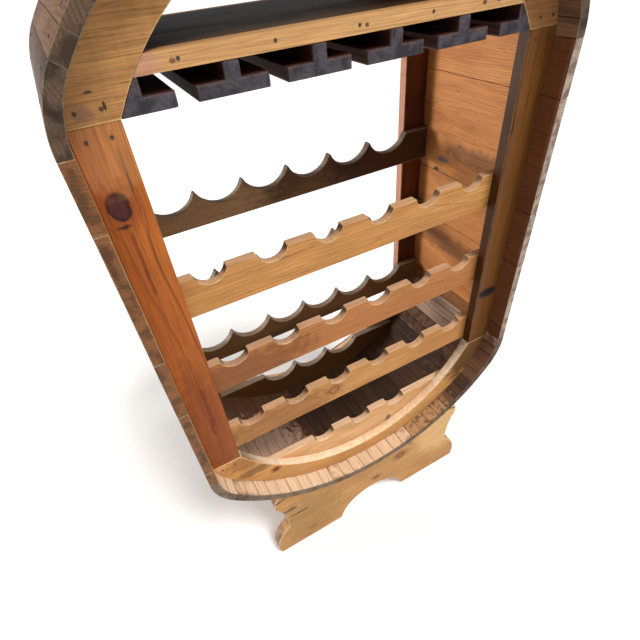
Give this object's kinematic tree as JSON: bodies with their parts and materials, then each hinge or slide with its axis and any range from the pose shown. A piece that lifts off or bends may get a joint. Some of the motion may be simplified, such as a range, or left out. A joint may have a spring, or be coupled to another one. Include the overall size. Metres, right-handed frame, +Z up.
{
  "type": "wine rack",
  "caption": "Free-standing cask-shaped wine rack with notched bottle rails, an upper shelf, glass hangers below it and two shaped cradle feet.",
  "frame": {"origin": "on the floor under the middle of the rack, at half its width and half its depth", "axes": "+X to the right seen from the front, +Y from front to back, +Z up"},
  "size_m": [0.7874, 0.412, 1.39],
  "materials": {
    "nail_iron": "dull, slightly rusted",
    "stile_wood": "reclaimed pine, satin varnish, knots and dark growth lines",
    "arch_wood": "rough-sawn honey pine, thin varnish",
    "wall_plank": "warm brown reclaimed planks, nail marks",
    "stave_wood": "weathered narrow staves, greyed ends",
    "front_rail_wood": "golden weathered pine, thin varnish",
    "rear_rail_wood": "dark stained pine with paler cut edges",
    "shelf_wood": "very dark stained boards, glossy",
    "trim_wood": "light honey pine",
    "hanger_wood": "very dark red-brown stain",
    "foot_wood": "honey tan pine, knots and cracks"
  },
  "bodies": {
    "root": {"corner_staves_lower_left": "stave_wood", "corner_staves_lower_right": "stave_wood", "corner_staves_upper_left": "stave_wood", "corner_staves_upper_right": "stave_wood", "frame_nails": "nail_iron", "front_bottle_rail_1": "front_rail_wood", "front_bottle_rail_2": "front_rail_wood", "front_bottle_rail_3": "front_rail_wood", "front_bottle_rail_4": "front_rail_wood", "front_foot": "foot_wood", "front_lower_arch_left": "arch_wood", "front_lower_arch_right": "arch_wood", "front_stile_left": "stile_wood", "front_stile_right": "stile_wood", "front_upper_arch_left": "arch_wood", "front_upper_arch_right": "arch_wood", "glass_hanger_1": "hanger_wood", "glass_hanger_2": "hanger_wood", "glass_hanger_3": "hanger_wood", "glass_hanger_4": "hanger_wood", "glass_hanger_5": "hanger_wood", "glass_hanger_6": "hanger_wood", "lower_staves_1": "stave_wood", "lower_staves_2": "stave_wood", "lower_staves_3": "stave_wood", "rear_bottle_rail_1": "rear_rail_wood", "rear_bottle_rail_2": "rear_rail_wood", "rear_bottle_rail_3": "rear_rail_wood", "rear_bottom_board": "rear_rail_wood", "rear_foot": "foot_wood", "rear_lower_arch_left": "arch_wood", "rear_lower_arch_right": "arch_wood", "rear_stile_left": "stile_wood", "rear_stile_right": "stile_wood", "rear_upper_arch_left": "arch_wood", "rear_upper_arch_right": "arch_wood", "shelf_board_1": "shelf_wood", "shelf_board_2": "shelf_wood", "shelf_board_3": "shelf_wood", "shelf_cleat_left": "shelf_wood", "shelf_cleat_right": "shelf_wood", "shelf_trim_front": "trim_wood", "shelf_trim_rear": "trim_wood", "shell_nails": "nail_iron", "side_plank_left_1": "wall_plank", "side_plank_left_2": "wall_plank", "side_plank_left_3": "wall_plank", "side_plank_left_4": "wall_plank", "side_plank_left_5": "wall_plank", "side_plank_right_1": "wall_plank", "side_plank_right_2": "wall_plank", "side_plank_right_3": "wall_plank", "side_plank_right_4": "wall_plank", "side_plank_right_5": "wall_plank", "trim_nails": "nail_iron", "upper_staves_1": "stave_wood", "upper_staves_2": "stave_wood", "upper_staves_3": "stave_wood"}
  },
  "joints": []
}
